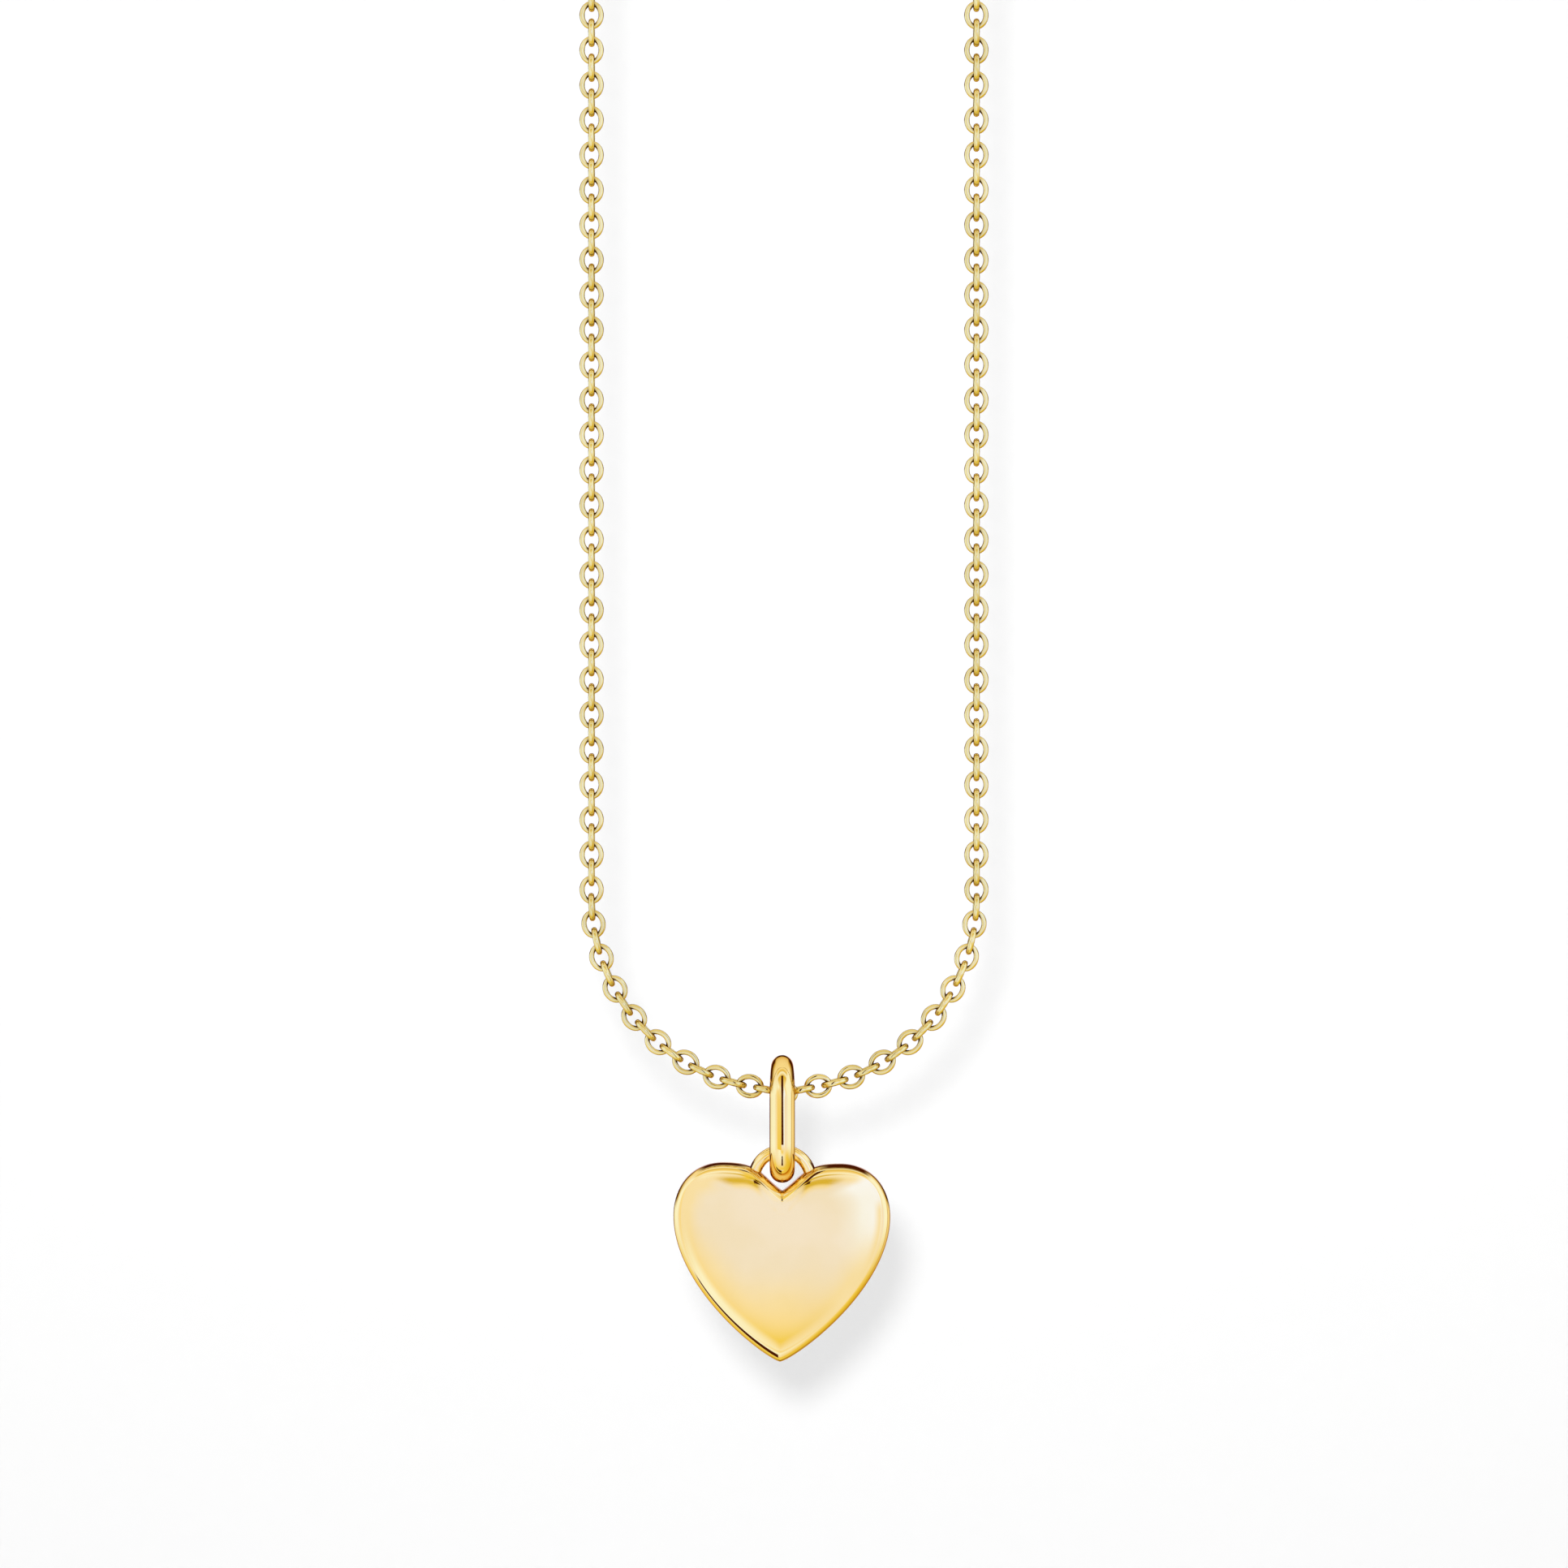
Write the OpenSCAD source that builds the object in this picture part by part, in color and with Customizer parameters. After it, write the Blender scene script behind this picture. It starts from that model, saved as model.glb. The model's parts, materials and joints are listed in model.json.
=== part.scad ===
// Pendant necklace: a solid gold heart on an elongated bail, threaded on a fine cable chain.
// It hangs as worn or displayed: X is across the strands, Y is front to back (the heart
// faces -Y), and +Z is up. The origin is where the inside of the loop bears on the neck
// or on a peg, at the top centre. Millimetres.

/* [Chain] */
// Distance from one link to the next along a straight strand
link_pitch = 1.0; // [0.95:0.01:1.1]
// Wire diameter of a link
link_wire = 0.31; // [0.25:0.01:0.33]
// Outer width of a link
link_width = 1.4; // [1.3:0.05:1.6]
// Distance between the two hanging strands, centre to centre
strand_spacing = 22; // [18:0.5:30]
// Spacing of the links where the chain curves
arc_pitch = 0.982; // [0.96:0.001:1.0]
// Links on each side from the pendant up to the nape
half_links = 210; // [200:2:260]
// How far the pendant pulls the lowest link below the curve
centre_dip = 0.22; // [0.1:0.01:0.3]

/* [Sections that swing] */
// Links in each hanging section between two swinging points
section_links = 26; // [20:2:28]
// Links on each side of the lowest section, counted from the pendant
lowest_links = 42; // [36:2:44]

/* [Bail] */
// Outer height of the bail
bail_h = 7.3; // [6:0.1:9]
// Outer depth of the bail, front to back
bail_depth = 4.6; // [4.5:0.1:5.5]
// Thickness of the bail's wire
bail_wire = 1.45; // [1.2:0.05:1.5]
// Where the bail sits across the lowest link
bail_x = -0.1; // [-0.15:0.05:0.15]

/* [Eye ring] */
// Wire diameter of the ring soldered into the heart
eye_wire = 0.71; // [0.6:0.01:0.75]
// Mean radius of that ring
eye_r = 1.625; // [1.5:0.025:1.8]

/* [Heart] */
// Half the heart's width
heart_half_w = 6.2; // [5:0.1:7.5]
// Drop from the cleft to the widest point
widest_drop = 1.4; // [1:0.1:2]
// Half the distance between the tops of the two lobes
lobe_x = 3.36; // [2.8:0.02:3.8]
// Rise from the cleft to the top of each lobe
lobe_rise = 1.57; // [1.2:0.01:1.8]
// Drop from the cleft to the tip
tip_drop = 9.72; // [8:0.02:11]
// Thickness through the middle of the heart
heart_t = 2; // [1.6:0.1:2.4]
// Radius of the shallow dome on the front
dome_r = 60; // [40:1:90]
// How far the cleft lies below the centre of the eye ring
cleft_drop = 0.69; // [0.6:0.01:0.9]
// How far the heart leans, tip to the left
heart_lean = 0.7; // [0:0.1:2]

/* [Clasp] */
// Mean radius of the spring ring
clasp_r = 2.5; // [2.3:0.05:2.6]
// Outer diameter of its tube
clasp_tube = 1.3; // [1.2:0.05:1.3]
// Bore of its tube
clasp_bore = 0.8; // [0.76:0.02:0.84]
// Diameter of the sliding bolt
bolt_d = 0.7; // [0.6:0.02:0.72]
// Wire diameter of the rings at the chain's ends and of the clasp's eye
ring_wire = 0.5; // [0.4:0.02:0.5]
// Mean radius of the clasp's soldered eye
clasp_eye_r = 0.75; // [0.72:0.01:0.8]
// Mean radius of the end ring that the clasp hooks
end_ring_r = 1.5; // [1.4:0.05:1.6]

/* [Hidden] */
$fn = 48;
gap = 0.02;                       // play between pieces that hang in each other
gold = "#E2BE4F";
pale_gold = "#EBCB66";

// Chain route
link_len = link_pitch + 2 * link_wire + gap;
bar = (link_len - link_wire) / 2;          // from a link's centre to the centre of its end bar
strand_r = strand_spacing / 2;
quarter = PI * strand_r / 2 / arc_pitch;   // links in a quarter turn
top_z = link_width / 2 - strand_r;         // centre of the top curve
low_z = top_z - (half_links - 2 * quarter) * link_pitch;  // centre of the bottom curve
bottom_z = low_z - strand_r;               // the chain's centre line at the pendant

// Sections, counted down from the nape
sections = 6;
nape_first = lowest_links + (sections - 1) * section_links;
function first_link(i) = i == sections ? floor(quarter) + 1 : nape_first - i * section_links;
function last_link(i) = nape_first - (i - 1) * section_links - 1;

// Pendant
centre_z = bottom_z - centre_dip;                    // the lowest link
bail_top_z = centre_z + link_width / 2 + gap + bail_wire;
bail_turn_r = (bail_depth - bail_wire) / 2;
bail_inner_low_z = bail_top_z - bail_h + bail_wire;
eye_z = bail_inner_low_z + gap - (eye_r - eye_wire / 2);
crown = 0.05;                                        // how much further the front stands than the back
dome_side = heart_t / 2 + crown;

// Heart outline: how far the curves' handles reach from the cleft, the lobes, the sides and the tip
cleft_handle = [1.2, 0.84];
lobe_handle_in = 2.17;
lobe_handle_out = 1.8;
side_handle_up = 1.64;
side_handle_down = 4.2;
tip_handle = [0.8, 0.15];

// Clasp, in the right strand
links_under_clasp = 4;                               // beyond the first
links_left_out = 12;                                 // their place is the clasp's
clasp_below = nape_first + links_under_clasp;
clasp_above = clasp_below + links_left_out;
eye_stand = 0.1;                                     // from the tube to the eye's centre line
ring_play = (ring_wire + link_wire) / 2 + gap;
below_bar_z = strand_z(clasp_below) + bar;
above_bar_z = strand_z(clasp_above) - bar;
end_ring_z = above_bar_z + ring_play - end_ring_r;
clasp_z = end_ring_z - end_ring_r + (ring_wire + clasp_tube) / 2 + gap - clasp_r;
clasp_eye_z = clasp_z - clasp_r - clasp_tube / 2 - eye_stand - clasp_eye_r;
jump_top_z = clasp_eye_z - clasp_eye_r + ring_wire + gap;
jump_low_z = below_bar_z - ring_play;
jump_r = (jump_top_z - jump_low_z) / 2;

// Angles round the clasp from +X towards +Z, in degrees
mouth_low = 18;
mouth_high = 58;
bolt_tip = 66;
bolt_tail = -58;
bolt_travel = 50;
spring_end = -150;
lug_mid = -5;
lug_span = 10;
end_play = 1;                     // past each end of the bore
cut_over = 2;                     // cuts run this far out through the mouth
lug_play = 3;                     // past each end of the lug's travel
spring_play = 3;                  // between the bolt and its spring
spring_turns = 9;
spring_coil_r = 0.26;
spring_wire = 0.12;

SIDES = ["left", "right"];

// Height of link k on a straight strand
function strand_z(k) = low_z + (k - quarter) * link_pitch;

// Where link k sits on side s (-1 left, 1 right): [x, z, lean of its length from upright]
function low_place(k, s) =
    let (a = 90 * k / quarter)
    [s * strand_r * sin(a), low_z - strand_r * cos(a), s * (90 - a)];
function top_place(k, s) =
    let (b = 90 * (half_links - k) / quarter)
    [s * strand_r * sin(b), top_z + strand_r * cos(b), -s * (90 - b)];
function first_place(s) =
    let (next = low_place(2, s), rise = next[1] - centre_z)
    [next[0] / 2, centre_z + rise / 2, s * (90 - atan2(rise, abs(next[0])))];
function place(k, s) =
    k == 0 ? [0, centre_z, 90] :
    k == 1 ? first_place(s) :
    k < quarter ? low_place(k, s) :
    half_links - k < quarter ? top_place(k, s) :
    [s * strand_r, strand_z(k), 0];

// One oval link, standing in the XZ plane
module link() {
    turn_r = (link_width - link_wire) / 2;
    straight = link_len - link_width;
    for (m = [0, 1]) mirror([0, 0, m]) translate([0, 0, straight / 2])
        rotate([90, 0, 0]) rotate_extrude(angle = 180)
            translate([turn_r, 0]) circle(d = link_wire);
    for (x = [-turn_r, turn_r]) translate([x, 0, -straight / 2])
        cylinder(d = link_wire, h = straight);
}

// A run of links; each is turned a quarter from its neighbours
module chain_run(first, last, s) {
    color(gold) for (k = [first : last]) {
        p = place(k, s);
        translate([p[0], 0, p[1]]) rotate([0, p[2], 0]) rotate([0, 0, 90 * (k % 2)]) link();
    }
}

// A round ring of wire, standing in the XZ plane
module wire_ring(r, wire) {
    rotate([90, 0, 0]) rotate_extrude() translate([r, 0]) circle(d = wire);
}

// A piece of the clasp's turned shape, from one angle to another
module clasp_arc(from, to) {
    translate([strand_r, 0, clasp_z]) rotate([90, 0, 0]) rotate([0, 0, from])
        rotate_extrude(angle = to - from) children();
}

// Heart outline: each half is three smooth curves, with the cleft at the origin
function curve(a, b, c, d, n = 14) = [for (i = [0 : n - 1]) let (t = i / n, u = 1 - t)
    u * u * u * a + 3 * u * u * t * b + 3 * u * t * t * c + t * t * t * d];
function half_heart() = concat(
    curve([0, 0], cleft_handle, [lobe_x - lobe_handle_in, lobe_rise], [lobe_x, lobe_rise]),
    curve([lobe_x, lobe_rise], [lobe_x + lobe_handle_out, lobe_rise],
        [heart_half_w, side_handle_up - widest_drop], [heart_half_w, -widest_drop]),
    curve([heart_half_w, -widest_drop], [heart_half_w, -widest_drop - side_handle_down],
        [tip_handle[0], tip_handle[1] - tip_drop], [0, -tip_drop])
);
module heart_outline() {
    right = half_heart();
    left = [for (i = [len(right) - 1 : -1 : 1]) [-right[i][0], right[i][1]]];
    polygon(concat(right, [[0, -tip_drop]], left));
}

// Solid heart, flat behind and domed in front, slotted at the cleft for the eye ring
module heart() {
    color(pale_gold) difference() {
        translate([bail_x, 0, eye_z]) rotate([0, heart_lean, 0]) intersection() {
            translate([0, heart_t - dome_side, -cleft_drop]) rotate([90, 0, 0])
                linear_extrude(height = heart_t) heart_outline();
            translate([0, dome_r - dome_side, -cleft_drop - tip_drop / 2 + lobe_rise / 2])
                sphere(r = dome_r, $fn = 360);
        }
        translate([bail_x, 0, eye_z]) wire_ring(eye_r, eye_wire);
    }
}

module eye_ring() {
    color(gold) translate([bail_x, 0, eye_z]) wire_ring(eye_r, eye_wire);
}

// Long closed ring of round wire, standing in the YZ plane
module bail() {
    straight = bail_h - bail_depth;
    color(gold) translate([bail_x, 0, bail_top_z - bail_h / 2]) rotate([0, 0, 90]) {
        for (m = [0, 1]) mirror([0, 0, m]) translate([0, 0, straight / 2])
            rotate([90, 0, 0]) rotate_extrude(angle = 180)
                translate([bail_turn_r, 0]) circle(d = bail_wire);
        for (x = [-bail_turn_r, bail_turn_r]) translate([x, 0, -straight / 2])
            cylinder(d = bail_wire, h = straight);
    }
}

module jump_ring() {
    color(gold) translate([strand_r, 0, (jump_top_z + jump_low_z) / 2])
        rotate([0, 0, 90]) wire_ring(jump_r, ring_wire);
}

module end_ring() {
    color(gold) translate([strand_r, 0, end_ring_z])
        rotate([0, 0, 90]) wire_ring(end_ring_r, ring_wire);
}

// Small eye let into the outside of the spring ring
module clasp_eye() {
    color(gold) difference() {
        translate([strand_r, 0, clasp_eye_z]) wire_ring(clasp_eye_r, ring_wire);
        translate([strand_r, 0, clasp_z]) wire_ring(clasp_r, clasp_tube);
    }
}

// Hollow spring ring, open at the mouth, with a slot on the outside for the thumb lug
module clasp_body() {
    slot_w = 0.36;
    color(gold) difference() {
        clasp_arc(mouth_high, mouth_low + 360) translate([clasp_r, 0]) circle(d = clasp_tube);
        clasp_arc(spring_end - end_play, mouth_low + cut_over)
            translate([clasp_r, 0]) circle(d = clasp_bore);
        clasp_arc(mouth_high - cut_over, bolt_tip + end_play)
            translate([clasp_r, 0]) circle(d = clasp_bore);
        clasp_arc(lug_mid - lug_span / 2 - bolt_travel - lug_play, lug_mid + lug_span / 2 + lug_play)
            translate([clasp_r, -slot_w / 2]) square([clasp_tube, slot_w]);
    }
}

// Curved bolt that closes the mouth, with its thumb lug
module clasp_bolt() {
    lug_w = 0.28;
    lug_h = 1.3;
    color(pale_gold) {
        clasp_arc(bolt_tail, bolt_tip) translate([clasp_r, 0]) circle(d = bolt_d);
        clasp_arc(lug_mid - lug_span / 2, lug_mid + lug_span / 2)
            translate([clasp_r, -lug_w / 2]) square([lug_h, lug_w]);
    }
}

// Fine coil spring that lies in the bore behind the bolt
function spring_ring(t) =
    let (from = bolt_tail - spring_play, to = spring_end + end_play,
        a = from + t * (to - from), h = 360 * spring_turns * t,
        out = [cos(a), 0, sin(a)], along = [-sin(a), 0, cos(a)],
        away = cos(h) * out + [0, sin(h), 0],
        middle = clasp_r * out + spring_coil_r * away)
    [for (j = [0 : 5]) middle + spring_wire / 2 * (cos(60 * j) * away + sin(60 * j) * along)];
module clasp_spring() {
    rings = 12 * spring_turns;
    points = [for (i = [0 : rings]) each spring_ring(i / rings)];
    sides = [for (i = [0 : rings - 1], j = [0 : 5]) let (n = (j + 1) % 6)
        [6 * i + j, 6 * i + n, 6 * i + 6 + n, 6 * i + 6 + j]];
    caps = [[5, 4, 3, 2, 1, 0], [for (j = [0 : 5]) 6 * rings + j]];
    color("silver") translate([strand_r, 0, clasp_z])
        polyhedron(points = points, faces = concat(sides, caps));
}

heart();
eye_ring();
bail();
chain_run(0, 0, 1);  // centre_link
for (s = [0, 1]) {
    chain_run(1, floor(quarter), 2 * s - 1);
    for (i = [1 : sections])
        chain_run(first_link(i), last_link(i), 2 * s - 1);
}
chain_run(nape_first, half_links, -1);  // nape_chain_left
chain_run(clasp_above, half_links - 1, 1);  // nape_chain_right
chain_run(nape_first, clasp_below, 1);  // clasp_end_links
jump_ring();
clasp_eye();
clasp_body();
clasp_bolt();
clasp_spring();
end_ring();
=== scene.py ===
"""Looks for the pendant necklace: polished gold heart, bail and cable chain, in a white studio."""

import json
import math

import bpy
import numpy as np
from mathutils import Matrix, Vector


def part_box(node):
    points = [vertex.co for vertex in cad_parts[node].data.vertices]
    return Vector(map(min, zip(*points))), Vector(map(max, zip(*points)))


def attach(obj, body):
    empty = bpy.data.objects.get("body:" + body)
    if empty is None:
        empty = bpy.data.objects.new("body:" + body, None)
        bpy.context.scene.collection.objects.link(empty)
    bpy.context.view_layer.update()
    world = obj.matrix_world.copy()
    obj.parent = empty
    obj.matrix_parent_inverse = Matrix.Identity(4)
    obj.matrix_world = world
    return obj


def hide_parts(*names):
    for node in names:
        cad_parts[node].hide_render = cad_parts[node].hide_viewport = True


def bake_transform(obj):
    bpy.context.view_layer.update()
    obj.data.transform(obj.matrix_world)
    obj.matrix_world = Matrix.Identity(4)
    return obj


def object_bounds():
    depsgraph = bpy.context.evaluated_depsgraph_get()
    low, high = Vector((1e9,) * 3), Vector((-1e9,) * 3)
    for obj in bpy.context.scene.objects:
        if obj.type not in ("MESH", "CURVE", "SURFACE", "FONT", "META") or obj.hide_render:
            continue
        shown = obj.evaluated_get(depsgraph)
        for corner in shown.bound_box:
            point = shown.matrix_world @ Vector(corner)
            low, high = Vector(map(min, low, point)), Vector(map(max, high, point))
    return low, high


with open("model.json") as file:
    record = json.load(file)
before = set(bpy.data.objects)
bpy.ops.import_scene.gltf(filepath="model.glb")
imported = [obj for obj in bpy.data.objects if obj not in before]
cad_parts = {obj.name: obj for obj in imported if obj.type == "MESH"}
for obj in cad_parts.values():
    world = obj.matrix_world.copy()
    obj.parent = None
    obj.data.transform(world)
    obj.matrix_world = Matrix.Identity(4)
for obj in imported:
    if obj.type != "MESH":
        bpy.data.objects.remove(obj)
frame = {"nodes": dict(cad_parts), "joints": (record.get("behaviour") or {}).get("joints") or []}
cad_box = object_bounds()

MM = 0.001

# ---------------------------------------------------------------- sizes, from the frame


def middle(node):
    """The centre of a CAD node's box."""
    low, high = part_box(node)
    return (low + high) / 2


def span(node):
    """The size of a CAD node's box along X, Y and Z."""
    low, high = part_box(node)
    return high - low


# Chain: the same route as the CAD chain's, from its boxes and its counts of links
SECTIONS = 6
LOWEST_LINKS = 42
SECTION_LINKS = 26
HALF_LINKS = 210
CLASP_GAP = (4, 16)  # links after the sections where the right strand breaks for the clasp
NAPE_FIRST = LOWEST_LINKS + (SECTIONS - 1) * SECTION_LINKS
LINK_WIRE = span("centre_link").y
LINK_LENGTH = span("centre_link").x
LINK_WIDTH = span("centre_link").z
PITCH = (span("chain_right_1").z - LINK_LENGTH) / (SECTION_LINKS - 1)
STRAND_X = middle("chain_right_1").x
TOP_CURVE_Z = LINK_WIDTH / 2 - STRAND_X
TOP_SECTION_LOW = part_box("chain_right_1")[0].z + LINK_LENGTH / 2
LOW_CURVE_LINKS = (
    2 * HALF_LINKS - (NAPE_FIRST - SECTION_LINKS) - HALF_LINKS
    - (TOP_CURVE_Z - TOP_SECTION_LOW) / PITCH
)
LOW_CURVE_Z = TOP_CURVE_Z - (HALF_LINKS - 2 * LOW_CURVE_LINKS) * PITCH
CENTRE_Z = middle("centre_link").z
ROUTE_LOW_Z = LOW_CURVE_Z - STRAND_X

# Pendant
BAIL_MIDDLE = middle("bail")
BAIL_WIRE, BAIL_DEPTH, BAIL_HEIGHT = span("bail")
EYE_MIDDLE = middle("eye_ring")
EYE_WIRE = span("eye_ring").y
EYE_RADIUS = (span("eye_ring").x - EYE_WIRE) / 2
HEART_LEAN = math.radians(0.7)
CLEFT_DROP = 0.69 * MM
HEART_FRONT_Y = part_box("heart")[0].y
HEART_BACK_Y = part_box("heart")[1].y
HEART_POLE = np.array((0.0, -4.08 * MM))  # the dome's highest point, from the cleft
DOME_R = 60 * MM

# ---------------------------------------------------------------- node helpers


class Graph:
    """Short calls for building a node tree."""

    def __init__(self, tree):
        self.tree = tree
        tree.nodes.clear()

    def add(self, kind, settings=None, **values):
        """A new node. Values are set or linked by socket name, with _ for each space."""
        node = self.tree.nodes.new(kind)
        for name, value in (settings or {}).items():
            setattr(node, name, value)
        for name, value in values.items():
            self.fill(node.inputs[name.replace("_", " ")], value)
        return node

    def fill(self, socket, value):
        """Link the socket if the value is another socket, or set its own value."""
        if isinstance(value, bpy.types.NodeSocket):
            self.tree.links.new(value, socket)
        else:
            socket.default_value = value

    def math(self, operation, a, b=0.0, c=0.0):
        node = self.add("ShaderNodeMath", {"operation": operation})
        for socket, value in zip(node.inputs, (a, b, c)):
            self.fill(socket, value)
        return node.outputs[0]

    def ramp(self, value, low, high, out_low=0.0, out_high=1.0):
        """A smooth step from out_low to out_high as the value goes from low to high."""
        node = self.add("ShaderNodeMapRange", {"interpolation_type": "SMOOTHSTEP"}, Value=value,
                        From_Min=low, From_Max=high, To_Min=out_low, To_Max=out_high)
        return node.outputs["Result"]

    def mix(self, factor, a, b):
        """A colour between a and b."""
        node = self.add("ShaderNodeMix", {"data_type": "RGBA"})
        for name, value in (("Factor", factor), ("A", a), ("B", b)):
            self.fill(next(s for s in node.inputs if s.name == name and s.type != "VECTOR"
                           and (name == "Factor" or s.type == "RGBA") and s.enabled), value)
        return next(s for s in node.outputs if s.enabled)

    def mix_shaders(self, factor, first, second):
        """The first node's shader where the factor is 0, and the second's where it is 1."""
        node = self.add("ShaderNodeMixShader", Fac=factor)
        self.fill(node.inputs[1], first.outputs[0])
        self.fill(node.inputs[2], second.outputs[0])
        return node

    def surface(self, output_kind, shader):
        """Join a node's shader to the tree's output."""
        self.add(output_kind, Surface=shader.outputs[0])

    def generated(self):
        """X, Y and Z across the object's box or, in a world, of the direction."""
        place = self.add("ShaderNodeTexCoord").outputs["Generated"]
        return self.add("ShaderNodeSeparateXYZ", Vector=place).outputs


def new_material(name):
    """A material and the graph of its empty node tree."""
    material = bpy.data.materials.new(name)
    material.use_nodes = True
    return material, Graph(material.node_tree)


def rgb(r, g, b):
    return (r, g, b, 1.0)


# ---------------------------------------------------------------- materials


# Noise scales, in features per metre
BROAD_GRAIN = 260.0  # patches about 4 mm across
FINE_GRAIN = 9000.0  # specks about 0.1 mm across
HAIRLINE_GRAIN = (500.0, 30000.0, 30000.0)  # streaks about 2 mm long and 0.03 mm wide
HAIRLINE_TURNS = (0.45, -0.8, 1.9)
HAIRLINE_TILT = 0.3
EDGE_TINT = (0.62, 0.30, 0.08)


def polished_metal(name, colour, deep, painted_shade, rough, scratch_depth, painted_shade_reach=0.22 * MM):
    """Polished metal, with a slow change from colour to deep and a soft ripple.

    It has faint hairlines, and painted shade: it darkens towards a painted-shade colour where
    pieces meet.
    """
    material, g = new_material(name)
    place = g.add("ShaderNodeTexCoord").outputs["Object"]
    broad = g.add("ShaderNodeTexNoise", Vector=place, Scale=BROAD_GRAIN, Detail=3.0).outputs["Fac"]
    fine = g.add("ShaderNodeTexNoise", Vector=place, Scale=FINE_GRAIN, Detail=4.0).outputs["Fac"]
    lines = []
    for turn in HAIRLINE_TURNS:
        stretched = g.add("ShaderNodeMapping", Vector=place, Rotation=(HAIRLINE_TILT, turn, 0.0),
                          Scale=HAIRLINE_GRAIN)
        noise = g.add("ShaderNodeTexNoise", Vector=stretched.outputs[0], Scale=1.0, Detail=1.0)
        lines.append(g.ramp(noise.outputs["Fac"], 0.66, 0.76))
    scratches = g.math("MAXIMUM", g.math("MAXIMUM", lines[0], lines[1]), lines[2])
    # Painted shade: darker where little open sky is near, where links cross and parts touch.
    open_sky = g.add("ShaderNodeAmbientOcclusion", {"samples": 8}, Distance=painted_shade_reach)
    tint = g.mix(g.ramp(broad, 0.35, 0.65), rgb(*colour), rgb(*deep))
    tint = g.mix(g.ramp(open_sky.outputs["AO"], 0.45, 0.85), rgb(*painted_shade), tint)
    roughness = g.math("ADD", g.ramp(fine, 0.3, 0.7, rough * 0.8, rough * 1.3),
                       g.math("MULTIPLY", scratches, 0.03))
    ripple = g.math("MULTIPLY_ADD", scratches, -scratch_depth, g.math("MULTIPLY", broad, 0.3))
    bump = g.add("ShaderNodeBump", Height=ripple, Strength=0.25, Distance=0.004 * MM)
    shader = g.add("ShaderNodeBsdfPrincipled", Base_Color=tint, Metallic=1.0, Roughness=roughness,
                   Normal=bump.outputs[0], Specular_Tint=rgb(*EDGE_TINT))
    g.surface("ShaderNodeOutputMaterial", shader)
    return material


# The third colour of each metal is painted shade, for where pieces meet and links cross.
GOLD = polished_metal(
    "polished_gold", colour=(1.0, 0.80, 0.36), deep=(0.98, 0.77, 0.32), painted_shade=(0.55, 0.33, 0.09),
    rough=0.045, scratch_depth=0.12)
# A darker copy of the same gold, as painted shade for the chain's darker look.
CHAIN_GOLD = polished_metal(
    "chain_gold", colour=(0.90, 0.77, 0.35), deep=(0.80, 0.67, 0.28), painted_shade=(0.14, 0.07, 0.01),
    rough=0.07, scratch_depth=0.3, painted_shade_reach=0.34 * MM)
SPRING = polished_metal(
    "spring_steel", colour=(0.62, 0.61, 0.60), deep=(0.50, 0.50, 0.50), painted_shade=(0.2, 0.2, 0.2),
    rough=0.22, scratch_depth=1.0)

# ---------------------------------------------------------------- mesh helpers


def make_piece(name, points, faces, material, body, replaces):
    """One smooth mesh piece that stands for its CAD nodes and rides on a body, if one is given."""
    mesh = bpy.data.meshes.new(name)
    mesh.from_pydata([tuple(p) for p in points], [], [tuple(int(i) for i in f) for f in faces])
    mesh.polygons.foreach_set("use_smooth", [True] * len(mesh.polygons))
    mesh.materials.append(material)
    mesh.update()
    piece = bpy.data.objects.new(name, mesh)
    bpy.context.scene.collection.objects.link(piece)
    if body:
        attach(piece, body)
    if replaces:
        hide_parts(*replaces)
    return piece


def tube(path, out, side, radius_out, radius_side, sides):
    """Points and faces of a closed tube. Each ring spans out and side at its path point."""
    count = len(path)
    angle = np.linspace(0, 2 * math.pi, sides, endpoint=False)
    points = (path[:, None]
              + radius_out[:, None, None] * np.cos(angle)[None, :, None] * out[:, None]
              + radius_side[:, None, None] * np.sin(angle)[None, :, None] * side[:, None])
    ring, spoke = np.meshgrid(np.arange(count), np.arange(sides), indexing="ij")
    after, beside = (ring + 1) % count, (spoke + 1) % sides
    faces = np.stack([ring * sides + spoke, ring * sides + beside,
                      after * sides + beside, after * sides + spoke], -1)
    return points.reshape(-1, 3), faces.reshape(-1, 4)


def oval_path(length, width, turn_steps, side_steps):
    """A closed oval in the XZ plane, long along Z: its points and its outward directions."""
    radius, straight = width / 2, length - width
    points, outs = [], []
    for sign in (1, -1):
        for i in range(turn_steps):
            a = math.pi * i / turn_steps + (0 if sign > 0 else math.pi)
            outs.append((math.cos(a), 0, math.sin(a)))
            points.append((radius * math.cos(a), 0, sign * straight / 2 + radius * math.sin(a)))
        for i in range(side_steps):
            outs.append((-sign, 0, 0))
            points.append((-sign * radius, 0, sign * straight * (0.5 - i / side_steps)))
    return np.array(points), np.array(outs, float)


def turned(points, spin, lean):
    """Points turned about Z by spin and then about Y by lean, in radians."""
    cs, ss, cl, sl = math.cos(spin), math.sin(spin), math.cos(lean), math.sin(lean)
    about_z = np.array([[cs, -ss, 0], [ss, cs, 0], [0, 0, 1]])
    about_y = np.array([[cl, 0, sl], [0, 1, 0], [-sl, 0, cl]])
    return points @ (about_y @ about_z).T


# ---------------------------------------------------------------- chain


LINK_STEPS, LINK_SIDES = 44, 12  # round the link, and round its wire
JOINT_REACH = 0.11 * MM
JOINT_SWELL = 0.05
WIRE_IN_PLANE, WIRE_ACROSS = 0.96, 1.08  # of the CAD wire, in the link's plane and across it


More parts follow.
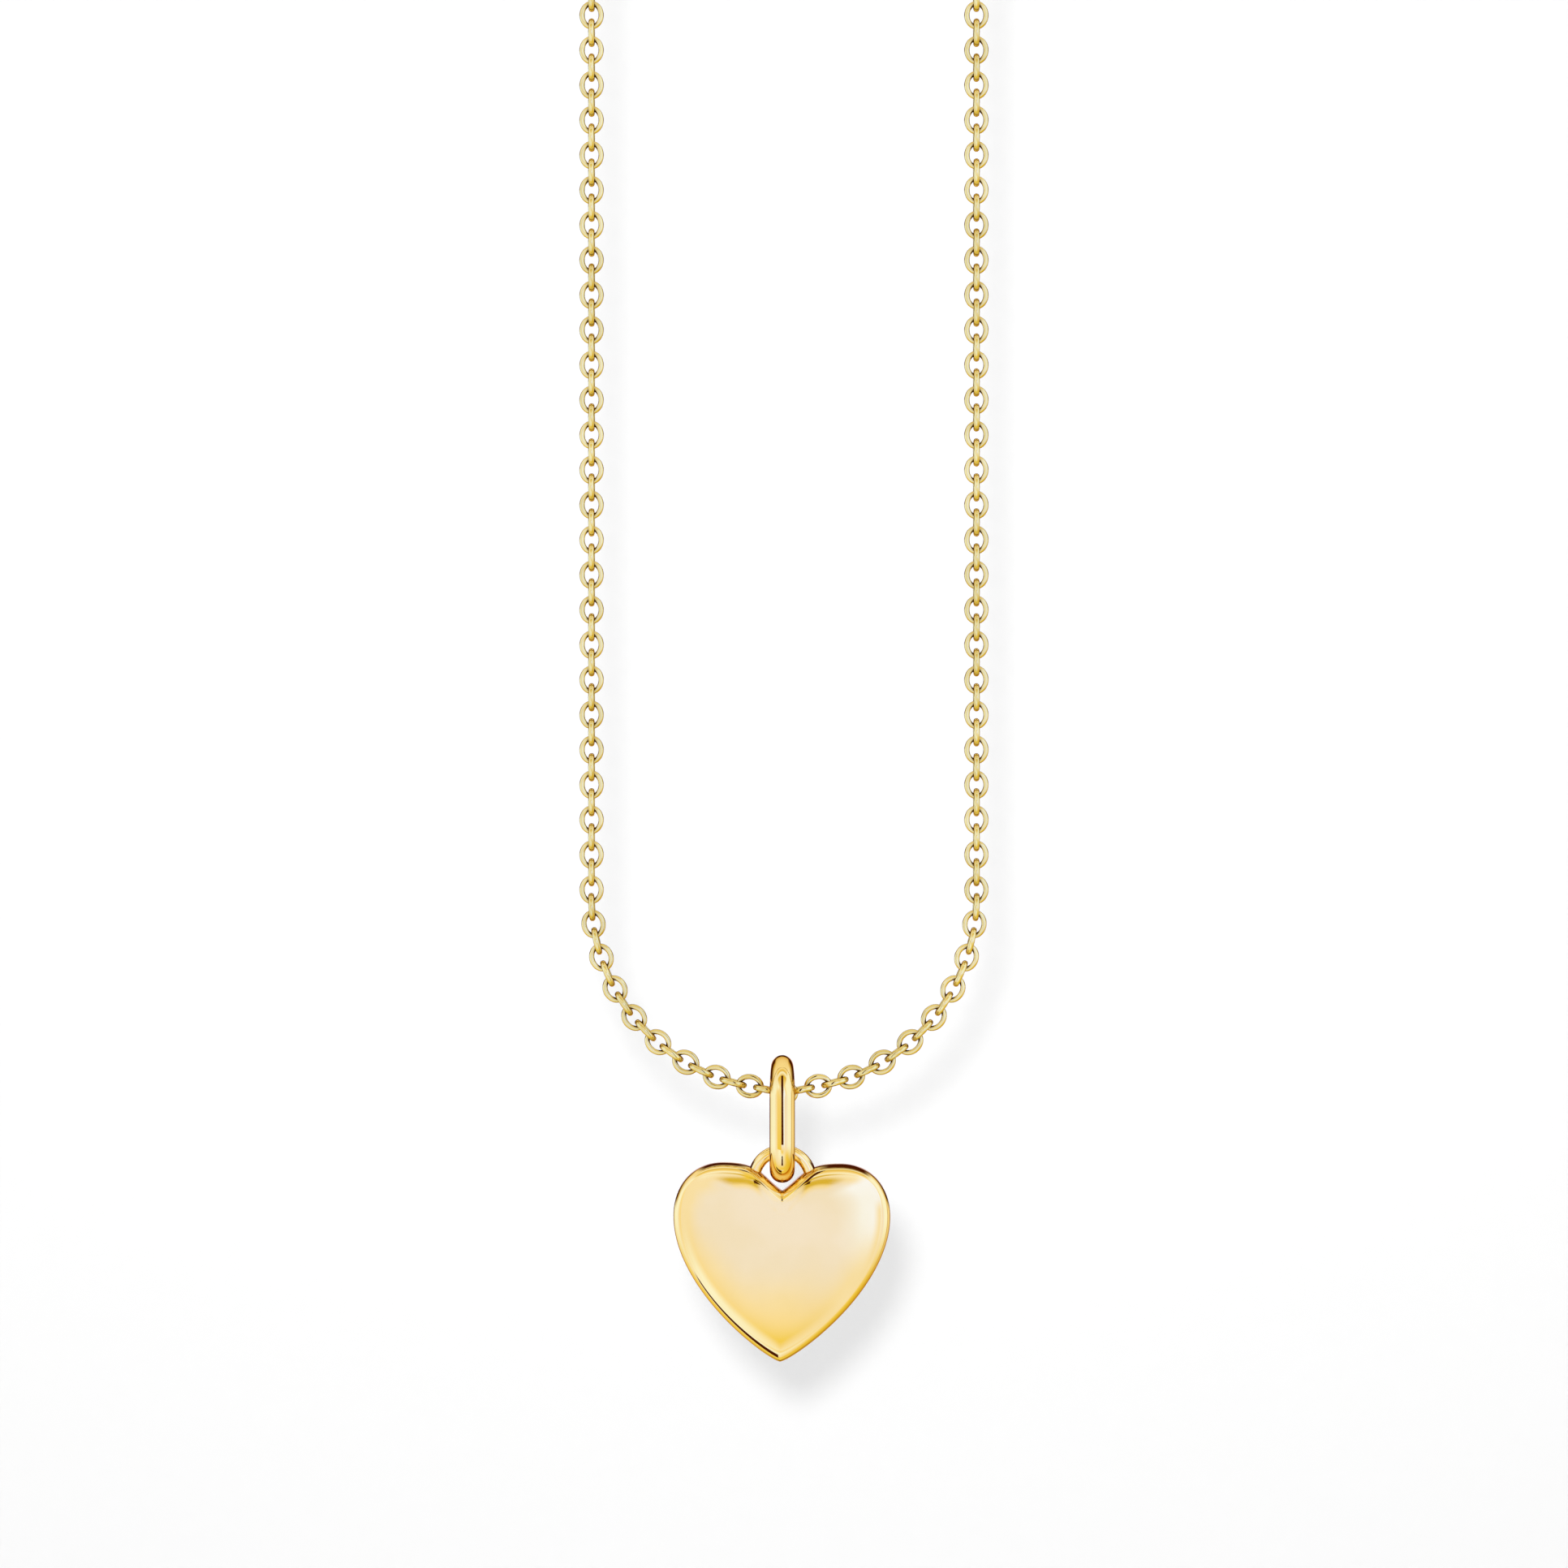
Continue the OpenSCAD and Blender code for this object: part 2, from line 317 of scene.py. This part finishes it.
def link_shape():
    """One soldered link, with the slight swell of its solder joint on one side."""
    turn = np.linspace(0, 2 * math.pi, LINK_STEPS, endpoint=False)
    half_width, half_length = (LINK_WIDTH - LINK_WIRE) / 2, (LINK_LENGTH - LINK_WIRE) / 2
    across, along, flat = np.cos(turn), np.sin(turn), np.zeros(len(turn))
    path = np.column_stack([half_width * across, flat, half_length * along])
    out = np.column_stack([half_length * across, flat, half_width * along])
    out /= np.linalg.norm(out, axis=1)[:, None]
    joint = np.exp(-((path[:, 2] / JOINT_REACH) ** 2)) * (path[:, 0] < 0)
    radius = LINK_WIRE / 2 * (1 + JOINT_SWELL * joint)
    side = np.tile((0.0, 1.0, 0.0), (len(path), 1))
    return tube(path, out, side, WIRE_IN_PLANE * radius, WIRE_ACROSS * radius, LINK_SIDES)


def link_place(k, side):
    """Where link k sits on a side (-1 left, 1 right): x, z and its lean from upright."""
    if k == 0:
        return 0.0, CENTRE_Z, math.pi / 2
    if k == 1:
        x, z, _ = link_place(2, side)
        rise = z - CENTRE_Z
        return x / 2, CENTRE_Z + rise / 2, side * (math.pi / 2 - math.atan2(rise, abs(x)))
    if k < LOW_CURVE_LINKS:
        a = math.pi / 2 * k / LOW_CURVE_LINKS
        return (side * STRAND_X * math.sin(a), LOW_CURVE_Z - STRAND_X * math.cos(a),
                side * (math.pi / 2 - a))
    if HALF_LINKS - k < LOW_CURVE_LINKS:
        a = math.pi / 2 * (HALF_LINKS - k) / LOW_CURVE_LINKS
        return (side * STRAND_X * math.sin(a), TOP_CURVE_Z + STRAND_X * math.cos(a),
                -side * (math.pi / 2 - a))
    return side * STRAND_X, LOW_CURVE_Z + (k - LOW_CURVE_LINKS) * PITCH, 0.0


def chain_piece(node, first, last, side, body):
    """A run of links as one piece, each turned a quarter from its neighbours."""
    shape, quads = link_shape()
    points, faces = [], []
    for k in range(first, last + 1):
        x, z, lean = link_place(k, side)
        faces.append(quads + len(points) * len(shape))
        points.append(turned(shape, math.pi / 2 * (k % 2), lean) + (x, 0, z))
    make_piece("links_" + node, np.concatenate(points), np.concatenate(faces), CHAIN_GOLD, body,
               [node])


def build_chain():
    last_curve = int(LOW_CURVE_LINKS)
    chain_piece("centre_link", 0, 0, 1, f"section_{SECTIONS}")
    for name, side in (("left", -1), ("right", 1)):
        chain_piece(f"chain_curve_{name}", 1, last_curve, side, f"section_{SECTIONS}")
        for i in range(1, SECTIONS + 1):
            first = NAPE_FIRST - i * SECTION_LINKS
            if i == SECTIONS:
                first = last_curve + 1
            chain_piece(f"chain_{name}_{i}", first, NAPE_FIRST - (i - 1) * SECTION_LINKS - 1, side,
                        f"section_{i}")
    below, above = (NAPE_FIRST + n for n in CLASP_GAP)
    chain_piece("nape_chain_left", NAPE_FIRST, HALF_LINKS, -1, "nape")
    chain_piece("nape_chain_right", above, HALF_LINKS - 1, 1, "nape")
    chain_piece("clasp_end_links", NAPE_FIRST, below, 1, "nape")


# ---------------------------------------------------------------- bail and rings


TAPER_DROP, TAPER_LENGTH, TAPER = 2.2 * MM, 1.5 * MM, 0.10  # from the top down, and by how much


def build_bail():
    """A long closed ring of thick wire, a little narrower towards its top."""
    path, out = oval_path(BAIL_HEIGHT - BAIL_WIRE, BAIL_DEPTH - BAIL_WIRE, 48, 24)
    path, out = turned(path, math.pi / 2, 0), turned(out, math.pi / 2, 0)
    high = (path[:, 2] - BAIL_HEIGHT / 2 + TAPER_DROP) / TAPER_LENGTH
    narrow = 1 - TAPER * np.clip(high, 0, 1) ** 2
    side = np.tile((-1.0, 0.0, 0.0), (len(path), 1))
    radius = np.full(len(path), BAIL_WIRE / 2)
    points, faces = tube(path, out, side, radius, radius * narrow, 40)
    make_piece("bail_loop", points + np.array(BAIL_MIDDLE), faces, GOLD, "hanger",
               ["bail"])


def ring_piece(name, node, centre, radius, wire, spin, body, steps=72, sides=28):
    """A round ring of wire, in the XZ plane or turned about Z by spin."""
    turn = np.linspace(0, 2 * math.pi, steps, endpoint=False)
    out = np.column_stack([np.cos(turn), np.zeros(steps), np.sin(turn)])
    side = np.tile((0.0, 1.0, 0.0), (steps, 1))
    thick = np.full(steps, wire / 2)
    points, faces = tube(radius * out, out, side, thick, thick, sides)
    return make_piece(name, turned(points, spin, 0) + np.array(centre), faces, GOLD, body,
                      [node])


# ---------------------------------------------------------------- heart


# The heart, in millimetres from its cleft, as in the CAD
HALF_WIDTH, WIDEST_Z = 6.2, -1.4
LOBE_X, LOBE_Z = 3.36, 1.57
TIP_Z = -9.72
CLEFT_SHIFT, TIP_SHIFT = 1.22, 1.24  # how far the corners move for each millimetre of inset
# Curve handles, from the ends that they leave
CLEFT_HANDLE, LOBE_IN_HANDLE, LOBE_OUT_HANDLE = (1.2, 0.84), 2.17, 1.8
SIDE_UP_HANDLE, SIDE_DOWN_HANDLE, TIP_HANDLE = 1.64, 4.2, (0.8, 0.15)
BACK_ROUND = 0.22
RIM_WIDTH, RIM_HEIGHT = 0.54, 0.5
CROWN, CROWN_REACH = 0.13, 0.85  # how far the front swells from its rim, and over what depth
BACK_STEPS, RIM_STEPS, FRONT_STEPS = 7, 13, 52


def bezier(a, b, c, d):
    """Points on a cubic curve, without its last one."""
    t = np.linspace(0, 1, 400, endpoint=False)[:, None]
    u = 1 - t
    a, b, c, d = (np.array(p, float) for p in (a, b, c, d))
    return u ** 3 * a + 3 * u * u * t * b + 3 * u * t * t * c + t ** 3 * d


def heart_outline(inset, half_count=150):
    """The heart's outline, or one that lies inset inside it, as evenly spaced points.

    It starts at the cleft and goes clockwise as seen from the front. The outer outline's cleft is
    the origin. The inset is in millimetres, and the points come out in metres.
    """
    half_w, top = HALF_WIDTH - inset, LOBE_Z - inset
    cleft, tip = -CLEFT_SHIFT * inset, TIP_Z + TIP_SHIFT * inset
    right = np.concatenate([
        bezier((0, cleft), (CLEFT_HANDLE[0], cleft + CLEFT_HANDLE[1]),
               (LOBE_X - LOBE_IN_HANDLE, top), (LOBE_X, top)),
        bezier((LOBE_X, top), (LOBE_X + LOBE_OUT_HANDLE, top),
               (half_w, WIDEST_Z + SIDE_UP_HANDLE), (half_w, WIDEST_Z)),
        bezier((half_w, WIDEST_Z), (half_w, WIDEST_Z - SIDE_DOWN_HANDLE),
               (TIP_HANDLE[0], tip + TIP_HANDLE[1]), (0, tip)),
        [(0, tip)],
    ])
    along = np.concatenate([[0], np.cumsum(np.linalg.norm(np.diff(right, axis=0), axis=1))])
    even = np.linspace(0, along[-1], half_count)
    right = np.column_stack([np.interp(even, along, right[:, i]) for i in (0, 1)])
    return np.concatenate([right, right[-2:0:-1] * (-1, 1)]) * MM


def soft_depth(points, outline):
    """How far each point lies inside the outline, smoothed where two sides are equally near."""
    step = np.roll(outline, -1, 0) - outline
    length = np.linalg.norm(step, axis=1)
    middles = outline + step / 2
    gaps = np.linalg.norm(points[:, None] - middles, axis=2)
    return np.sqrt(2 / (length / gaps ** 3).sum(1))


def rim_crest(flat):
    """Y of the rim's crest at points of the outline, following the dome."""
    return HEART_FRONT_Y + CROWN * MM + ((flat - HEART_POLE) ** 2).sum(1) / (2 * DOME_R)


def heart_rings():
    """Rings of points from the back's edge to the middle of the front, as outlines and their Y."""
    rings = []
    for a in np.linspace(0, math.pi / 2, BACK_STEPS):
        flat = heart_outline(BACK_ROUND * (1 - math.sin(a)))
        y = HEART_BACK_Y - BACK_ROUND * MM * (1 - math.cos(a))
        rings.append((flat, np.full(len(flat), y)))
    for a in np.linspace(0, math.pi / 2, RIM_STEPS):
        flat = heart_outline(RIM_WIDTH * (1 - math.cos(a)))
        rings.append((flat, rim_crest(flat) + RIM_HEIGHT * MM * (1 - math.sin(a))))
    inner = heart_outline(RIM_WIDTH)
    fine_edge = heart_outline(RIM_WIDTH, 1000)
    for share in np.linspace(0, 1, FRONT_STEPS)[1:-1] ** 1.4:
        flat = inner + (HEART_POLE - inner) * share
        swell = CROWN * MM * (1 - np.exp(-soft_depth(flat, fine_edge) / (CROWN_REACH * MM)))
        rings.append((flat, rim_crest(flat) - swell))
    return rings


def build_heart():
    """A solid plate: flat behind, with a rounded rim and a front that swells and then domes."""
    rings = heart_rings()
    points = np.concatenate([np.column_stack([flat[:, 0], y, flat[:, 1]]) for flat, y in rings])
    count = len(rings[0][0])
    faces = []
    for r in range(len(rings) - 1):
        for i in range(count):
            j = (i + 1) % count
            faces.append((r * count + i, (r + 1) * count + i, (r + 1) * count + j, r * count + j))
    front_hub, back_hub = len(points), len(points) + 1
    pole_x, pole_z = HEART_POLE
    points = np.vstack([points, (pole_x, rings[-1][1].min(), pole_z),
                        (pole_x, HEART_BACK_Y, pole_z)])
    last = (len(rings) - 1) * count
    faces += [(last + (i + 1) % count, last + i, front_hub) for i in range(count)]
    faces += [(i, (i + 1) % count, back_hub) for i in range(count)]
    points[:, 2] -= CLEFT_DROP
    placed = turned(points, 0, HEART_LEAN) + np.array(EYE_MIDDLE)
    make_piece("heart_plate", placed, faces, GOLD, "pendant", ["heart"])


# ---------------------------------------------------------------- clasp


ARC_R = 2.5 * MM  # of the ring's bore, which the coil follows
COIL_R, COIL_WIRE = 0.26 * MM, 0.12 * MM
COIL_TURNS, TURN_STEPS, WIRE_SIDES = 7, 20, 10
BOLT_END, WALL_END = math.radians(-62.5), math.radians(-147.5)


def build_spring():
    """The coil spring in the ring's bore, built in one fixed shape: it doesn't close up here as the
    bolt slides back.
    """
    slide = next(joint for joint in frame["joints"] if joint["name"] == "clasp_slide")
    centre = np.array(slide["pos_m"])
    share = np.linspace(0, 1, COIL_TURNS * TURN_STEPS + 1)
    a, h = BOLT_END + share * (WALL_END - BOLT_END), 2 * math.pi * COIL_TURNS * share
    flat, thick = np.zeros(len(share)), np.full(len(share), COIL_WIRE / 2)
    out = np.column_stack([np.cos(a), flat, np.sin(a)])
    along = np.column_stack([-np.sin(a), flat, np.cos(a)])
    away = np.cos(h)[:, None] * out + np.column_stack([flat, np.sin(h), flat])
    points, quads = tube(centre + ARC_R * out + COIL_R * away, away, -along, thick, thick,
                         WIRE_SIDES)
    caps = [range(WIRE_SIDES - 1, -1, -1), range(len(points) - WIRE_SIDES, len(points))]
    spring = make_piece("clasp_coil", points, list(quads[:-WIRE_SIDES]) + caps, SPRING, None,
                        ["clasp_spring"])
    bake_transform(spring)


def build_clasp():
    for node in ("clasp_body", "clasp_bolt", "clasp_eye"):
        cad = frame["nodes"][node]
        cad.data.materials.clear()
        cad.data.materials.append(GOLD)
    for node in ("jump_ring", "end_ring"):
        wire = span(node).x
        ring_piece(node + "_wire", node, middle(node), (span(node).z - wire) / 2, wire,
                   math.pi / 2, "nape")


# ---------------------------------------------------------------- studio


# Colours of the surround. Some go past 1, because the gold's own colour darkens them.
WHITE = (0.965, 1.16, 2.33)
CREAM = (0.91, 0.96, 1.54)
BRIGHT = (0.99, 1.13, 1.53)
PALE = (0.95, 0.93, 1.05)
SOFT = (0.96, 0.88, 0.73)
GOLDEN = (0.91, 0.76, 0.195)
DEEP = (0.78, 0.57, 0.06)
OLD = (0.62, 0.44, 0.08)
CRESCENT = (0.72, 0.56, 0.09)
BROWN = (0.07, 0.012, 0.0)
# The ways up over the heart's two lobes
LOBE_RIM = ((27, BRIGHT), (36, SOFT), (62, DEEP), (74, BRIGHT), (80, DEEP), (88, SOFT),
            (146, SOFT), (156, BROWN), (174, BROWN), (178, SOFT))
LOBE = ((9, CREAM), (12, SOFT), (14, CRESCENT), (17, CRESCENT), (20, PALE)) + LOBE_RIM
LOBE_SHOULDER = ((13, CREAM), (18, PALE), (20, PALE)) + LOBE_RIM
# Straight behind, where mostly the flat back looks
BEHIND = ((162, BROWN), (168, SOFT), (176, PALE))
LOW_BEHIND = ((148, OLD), (156, SOFT), (174, PALE))
# What the polished metal sees. Each entry is a way round from the front, in degrees (0 right,
# 90 up), and then the colours met at growing angles away from the front.
SURROUND = (
    (0, ((7, CREAM), (14, WHITE), (21, WHITE), (27, PALE), (40, CREAM), (54, BRIGHT), (84, BRIGHT),
         (94, OLD), (101, SOFT), (138, SOFT), (146, BROWN)) + BEHIND),
    (12, ((7, CREAM), (14, WHITE), (27, WHITE), (34, SOFT), (46, BRIGHT), (84, BRIGHT), (98, SOFT),
          (112, OLD), (124, BROWN)) + BEHIND),
    (42, ((7, CREAM), (13, WHITE), (27, WHITE), (34, SOFT), (46, BRIGHT), (90, BRIGHT), (116, SOFT),
          (134, OLD), (144, BROWN)) + BEHIND),
    (58, LOBE_SHOULDER),
    (72, LOBE),
    (110, LOBE),
    (124, LOBE_SHOULDER),
    (140, ((10, CREAM), (16, PALE), (26, PALE), (32, SOFT), (42, BRIGHT), (90, PALE), (116, SOFT),
           (134, OLD), (144, BROWN)) + BEHIND),
    (168, ((12, CREAM), (20, PALE), (29, PALE), (34, SOFT), (50, SOFT), (62, BRIGHT), (88, BRIGHT),
           (112, OLD), (124, BROWN)) + BEHIND),
    (180, ((14, CREAM), (22, PALE), (29, PALE), (34, SOFT), (46, SOFT), (57, PALE), (74, BRIGHT),
           (132, BRIGHT), (142, BROWN)) + BEHIND),
    (225, ((9, CREAM), (15, PALE), (22, SOFT), (27, BRIGHT), (34, BRIGHT), (70, PALE), (88, GOLDEN),
           (142, GOLDEN)) + LOW_BEHIND),
    (270, ((7, CREAM), (11, PALE), (16, SOFT), (23, GOLDEN), (28, SOFT), (36, BRIGHT), (62, PALE),
           (74, GOLDEN), (102, GOLDEN), (110, BROWN), (118, BROWN), (126, GOLDEN)) + LOW_BEHIND),
    (318, ((11, CREAM), (20, PALE), (30, PALE), (38, SOFT), (54, GOLDEN), (92, DEEP),
           (135, OLD)) + LOW_BEHIND),
)
BRIGHTEST = 2.4  # colour ramps hold up to 1, so their colours are divided by this
ROOM_LIGHT, ROOM_SEEN = 1.15, 1.0  # the plain room's strength for light, and for the camera


def build_world():
    """A white room for the camera and the floor; polished metal sees the surround instead."""
    world = bpy.data.worlds.new("studio")
    bpy.context.scene.world = world
    world.use_nodes = True
    g = Graph(world.node_tree)
    parts = g.generated()
    away = g.math("DIVIDE", g.math("ARCCOSINE", g.math("MULTIPLY", parts["Y"], -1.0)), math.pi)
    way = g.math("DEGREES", g.math("ARCTAN2", parts["Z"], parts["X"]))
    way = g.math("FLOORED_MODULO", way, 360.0)

    def colours(stops):
        """The colours from the front to the back along one way round."""
        node = g.add("ShaderNodeValToRGB", Fac=away)
        elements = node.color_ramp.elements
        elements.remove(elements[1])
        elements[0].position = 0.0
        elements[0].color = [c / BRIGHTEST for c in CREAM] + [1.0]
        for angle, colour in stops:
            elements.new(angle / 180).color = [c / BRIGHTEST for c in colour] + [1.0]
        return node.outputs["Color"]

    ways = [(start, colours(stops)) for start, stops in SURROUND]
    ways.append((360, ways[0][1]))
    colour = ways[0][1]
    for (low, _), (high, beyond) in zip(ways, ways[1:]):
        colour = g.mix(g.ramp(way, low, high), colour, beyond)
    surround = g.add("ShaderNodeBackground", Color=colour, Strength=BRIGHTEST)
    rays = g.add("ShaderNodeLightPath").outputs
    room = g.add("ShaderNodeBackground", Color=rgb(1, 1, 1), Strength=g.math(
        "MULTIPLY_ADD", rays["Is Camera Ray"], ROOM_SEEN - ROOM_LIGHT, ROOM_LIGHT))
    g.surface("ShaderNodeOutputWorld", g.mix_shaders(rays["Is Glossy Ray"], room, surround))


def stage_sheet(name, corners, faces, material):
    """A flat sheet of the stage, not yet marked as such."""
    mesh = bpy.data.meshes.new(name)
    mesh.from_pydata(corners, [], faces)
    mesh.materials.append(material)
    sheet = bpy.data.objects.new(name, mesh)
    bpy.context.scene.collection.objects.link(sheet)
    return sheet


FLOOR_HALF, FLOOR_DROP = 0.35, 0.06  # its half width, and how far it lies under the heart's tip


def build_floor():
    h, low = FLOOR_HALF, cad_box[0].z - FLOOR_DROP
    material = bpy.data.materials.new("pale_floor")
    material.use_nodes = True
    shader = material.node_tree.nodes["Principled BSDF"]
    shader.inputs["Base Color"].default_value = rgb(0.9, 0.9, 0.9)
    floor = stage_sheet("floor", [(-h, -h, low), (h, -h, low), (h, h, low), (-h, h, low)],
                        [(0, 1, 2, 3)], material)
    floor.visible_glossy = False


def soft_edges(g, shown, soft):
    """A sheet's opacity, fading in from its left, right, front and top by shares of its size."""
    parts = g.generated()
    edges = (("X", 0, 1), ("X", 1, 0), ("Y", 0, 1), ("Z", 1, 0))
    for share, (axis, start, end) in zip(soft, edges):
        if share:
            fade = g.ramp(parts[axis], start, start + (end - start) * share)
            shown = g.math("MULTIPLY", shown, fade)
    return shown


def card_look(name, low_colour, high_colour, soft):
    """Glowing on one side and clear on the other; soft is as for soft_edges."""
    material, g = new_material(name)
    glow = g.add("ShaderNodeEmission", Strength=1.0,
                 Color=g.mix(g.generated()["Z"], rgb(*low_colour), rgb(*high_colour)))
    behind = g.add("ShaderNodeNewGeometry").outputs["Backfacing"]
    clear = g.add("ShaderNodeBsdfTransparent")
    g.surface("ShaderNodeOutputMaterial", g.mix_shaders(soft_edges(g, behind, soft), clear, glow))
    return material


def build_cards():
    """Small cards that only the polished metal sees, for fine lines and the bail's gold side.

    Each has a point, pairs of corners as x, y and z in millimetres from it, the colours of its
    foot and head, and its soft edges.
    """
    x, y, z = BAIL_MIDDLE
    bail_front = (x, y - BAIL_DEPTH / 2, z)
    bail_foot = (x, 0, z - BAIL_HEIGHT / 2)
    eye = (x, 0, EYE_MIDDLE.z)
    cleft = (EYE_MIDDLE.x, HEART_FRONT_Y, EYE_MIDDLE.z - CLEFT_DROP)
    hard, over_lobe = (0, 0, 0, 0), (0.25, 0.25, 0.12, 0)
    for name, point, corners, low, high, soft in (
        ("card_strip", bail_front,
         ((-1.15, -5, -1.8), (1.15, -5, -1.8), (-0.85, -5, 1), (0.85, -5, 1),
          (-1.7, -5, 13), (1.7, -5, 13)), BROWN, BROWN, hard),
        ("card_gold", bail_front,
         ((-2.7, -2, -2.2), (-0.33, -2, -2.2), (-2.7, -2, 3.4), (-0.33, -2, 3.4)),
         (0.88, 0.70, 0.12), SOFT, (0.35, 0, 0, 0.4)),
        ("card_dash", bail_foot,
         ((0.27, -4.5, 0.15), (-0.27, -4.5, 0.15), (0.17, -2.45, 0.15), (-0.17, -2.45, 0.15)),
         BROWN, BROWN, hard),
        ("card_right", eye,
         ((1.5, -0.8, 1.3), (6.3, -0.8, 1.3), (1.5, 4, 1.3), (6.3, 4, 1.3)),
         BROWN, BROWN, over_lobe),
        ("card_left", eye,
         ((-5.6, -0.5, 1.3), (-1.5, -0.5, 1.3), (-5.6, 4, 1.3), (-1.5, 4, 1.3)),
         BROWN, BROWN, over_lobe),
        ("card_edge", eye,
         ((-1, -3.7, -13.2), (-7.2, -2.2, -6.3), (-1, -1, -13.2), (-7.2, -1.5, -6.3)),
         BROWN, BROWN, (0.12, 0, 0.2, 0)),
        ("card_cleft", cleft,
         ((-0.55, -1, -1), (0.55, -1, -1), (-0.55, -1, -0.05), (0.55, -1, -0.05)),
         CREAM, CREAM, (0.35, 0.35, 0, 0.3)),
    ):
        placed = [tuple(p + c * MM for p, c in zip(point, corner)) for corner in corners]
        faces = [(i, i + 1, i + 3, i + 2) for i in range(0, len(corners) - 2, 2)]
        card = stage_sheet(name, placed, faces, card_look(name, low, high, soft))
        for ray in ("camera", "diffuse", "transmission", "shadow"):
            setattr(card, "visible_" + ray, False)


WALL_HALF, WALL_BEHIND, WALL_DOWN, WALL_UP = 0.13, 0.16, 0.072, 0.15  # from the chain's low point
WALL_EDGES = (0.2, 0.2, 0, 0.25)
LAMP_SIZE, LAMP_POWER = 5.5 * MM, 0.55
LAMP_LEFT, LAMP_ABOVE = 3.0 * MM, 5.9 * MM  # of the camera


def build_backdrop():
    """A white wall far behind, seen from the front only, that takes the lamp's soft shadow."""
    half, y = WALL_HALF, WALL_BEHIND
    low, high = ROUTE_LOW_Z - WALL_DOWN, ROUTE_LOW_Z + WALL_UP
    material, g = new_material("backdrop")
    wall = g.add("ShaderNodeBsdfDiffuse", Color=rgb(0.70, 0.70, 0.70))
    front = g.math("SUBTRACT", 1.0, g.add("ShaderNodeNewGeometry").outputs["Backfacing"])
    clear = g.add("ShaderNodeBsdfTransparent")
    g.surface("ShaderNodeOutputMaterial",
              g.mix_shaders(soft_edges(g, front, WALL_EDGES), clear, wall))
    backdrop = stage_sheet("backdrop", [(-half, y, low), (half, y, low), (half, y, high),
                                        (-half, y, high)], [(0, 1, 2, 3)], material)
    backdrop.visible_glossy = False


def build_lamp():
    """A small lamp by the camera."""
    light = bpy.data.lights.new("lamp", "AREA")
    light.shape = "DISK"
    light.size = LAMP_SIZE
    light.energy = LAMP_POWER
    lamp = bpy.data.objects.new("lamp", light)
    lamp.location = bpy.context.scene.camera.location
    lamp.location.x -= LAMP_LEFT
    lamp.location.z += LAMP_ABOVE
    lamp.rotation_euler = (math.pi / 2, 0, 0)
    lamp.visible_glossy = False
    bpy.context.scene.collection.objects.link(lamp)


LENS, SENSOR = 100.0, 36.0
FIELD_WIDTH = 89.65 * MM  # what the frame takes in at the chain
VIEW_RAISE = 17.45 * MM  # of the view's centre over the chain's lowest point


def build_camera():
    data = bpy.data.cameras.new("camera")
    data.lens = LENS
    data.sensor_width = SENSOR
    data.clip_start, data.clip_end = 0.005, 10.0
    camera = bpy.data.objects.new("camera", data)
    camera.location = (0, -FIELD_WIDTH * LENS / SENSOR, ROUTE_LOW_Z + VIEW_RAISE)
    camera.rotation_euler = (math.pi / 2, 0, 0)
    bpy.context.scene.collection.objects.link(camera)
    bpy.context.scene.camera = camera


build_camera()
build_world()
build_floor()
build_cards()
build_backdrop()
build_lamp()
build_chain()
build_bail()
ring_piece("eye_ring_wire", "eye_ring", EYE_MIDDLE, EYE_RADIUS, EYE_WIRE, 0.0, "pendant")
build_heart()
build_spring()
build_clasp()
bpy.context.scene.view_settings.view_transform = "Standard"
